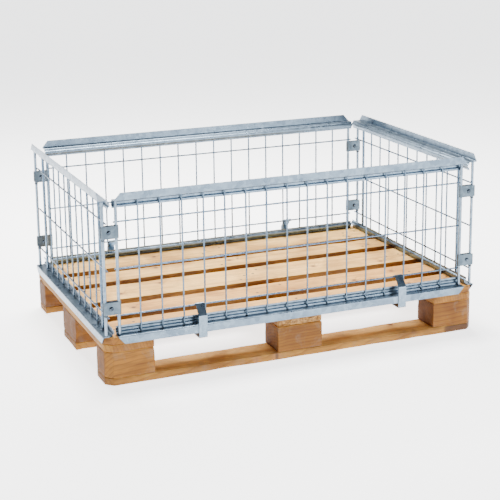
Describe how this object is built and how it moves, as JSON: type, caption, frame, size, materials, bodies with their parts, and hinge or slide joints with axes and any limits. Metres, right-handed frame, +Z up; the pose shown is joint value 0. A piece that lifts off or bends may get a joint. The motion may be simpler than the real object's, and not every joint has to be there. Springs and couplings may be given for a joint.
{
  "type": "wire mesh container",
  "caption": "Wooden flat pallet with a low collar of galvanised wire mesh panels, hinged at the corners, stackable, held to the deck by swinging clips.",
  "frame": {"origin": "on the floor, under the middle of the pallet", "axes": "+X along the long side, +Y from the front long side to the back one, +Z up"},
  "size_m": [1.2064, 0.8114, 0.56],
  "materials": {
    "timber": "rough sawn pine",
    "rails": "hot-dip galvanised sheet",
    "wires": "hot-dip galvanised wire",
    "hinges": "galvanised strip, dull",
    "clips": "galvanised strip, dull"
  },
  "bodies": {
    "pallet": {"block_back_left": "timber", "block_back_middle": "timber", "block_back_right": "timber", "block_front_left": "timber", "block_front_middle": "timber", "block_front_right": "timber", "block_middle_left": "timber", "block_middle_middle": "timber", "block_middle_right": "timber", "bottom_board_back": "timber", "bottom_board_front": "timber", "bottom_board_middle": "timber", "cross_board_left": "timber", "cross_board_middle": "timber", "cross_board_right": "timber", "deck_board_1": "timber", "deck_board_2": "timber", "deck_board_3": "timber", "deck_board_4": "timber", "deck_board_5": "timber"},
    "collar": {"back_bottom_rail": "rails", "back_post_1": "wires", "back_post_2": "wires", "back_top_rail": "rails", "back_wire_mesh": "wires", "front_bottom_rail": "rails", "front_post_1": "wires", "front_post_2": "wires", "front_top_rail": "rails", "front_wire_mesh": "wires", "hinge_plate_back_left_lower": "hinges", "hinge_plate_back_left_upper": "hinges", "hinge_plate_back_right_lower": "hinges", "hinge_plate_back_right_upper": "hinges", "hinge_plate_front_left_lower": "hinges", "hinge_plate_front_left_upper": "hinges", "hinge_plate_front_right_lower": "hinges", "hinge_plate_front_right_upper": "hinges", "hinge_rivet_back_left_lower": "hinges", "hinge_rivet_back_left_upper": "hinges", "hinge_rivet_back_right_lower": "hinges", "hinge_rivet_back_right_upper": "hinges", "hinge_rivet_front_left_lower": "hinges", "hinge_rivet_front_left_upper": "hinges", "hinge_rivet_front_right_lower": "hinges", "hinge_rivet_front_right_upper": "hinges", "left_bottom_rail": "rails", "left_post_1": "wires", "left_post_2": "wires", "left_top_rail": "rails", "left_wire_mesh": "wires", "right_bottom_rail": "rails", "right_post_1": "wires", "right_post_2": "wires", "right_top_rail": "rails", "right_wire_mesh": "wires"},
    "clip_back_left": {"clip_back_left": "clips"},
    "clip_back_right": {"clip_back_right": "clips"},
    "clip_front_left": {"clip_front_left": "clips"},
    "clip_front_right": {"clip_front_right": "clips"}
  },
  "joints": [
    {"name": "clip_back_left_swing", "type": "hinge", "parent": "collar", "child": "clip_back_left", "pos_m": [-0.341, 0.376, 0.2], "axis": [1, 0, 0], "range_deg": [0, 110]},
    {"name": "clip_back_right_swing", "type": "hinge", "parent": "collar", "child": "clip_back_right", "pos_m": [0.309, 0.376, 0.2], "axis": [1, 0, 0], "range_deg": [0, 110]},
    {"name": "clip_front_left_swing", "type": "hinge", "parent": "collar", "child": "clip_front_left", "pos_m": [-0.309, -0.376, 0.2], "axis": [-1, 0, 0], "range_deg": [0, 110]},
    {"name": "clip_front_right_swing", "type": "hinge", "parent": "collar", "child": "clip_front_right", "pos_m": [0.341, -0.376, 0.2], "axis": [-1, 0, 0], "range_deg": [0, 110]},
    {"name": "collar_lift", "type": "slide", "parent": "pallet", "child": "collar", "axis": [0, 0, 1], "range_m": [0, 0.012]}
  ]
}
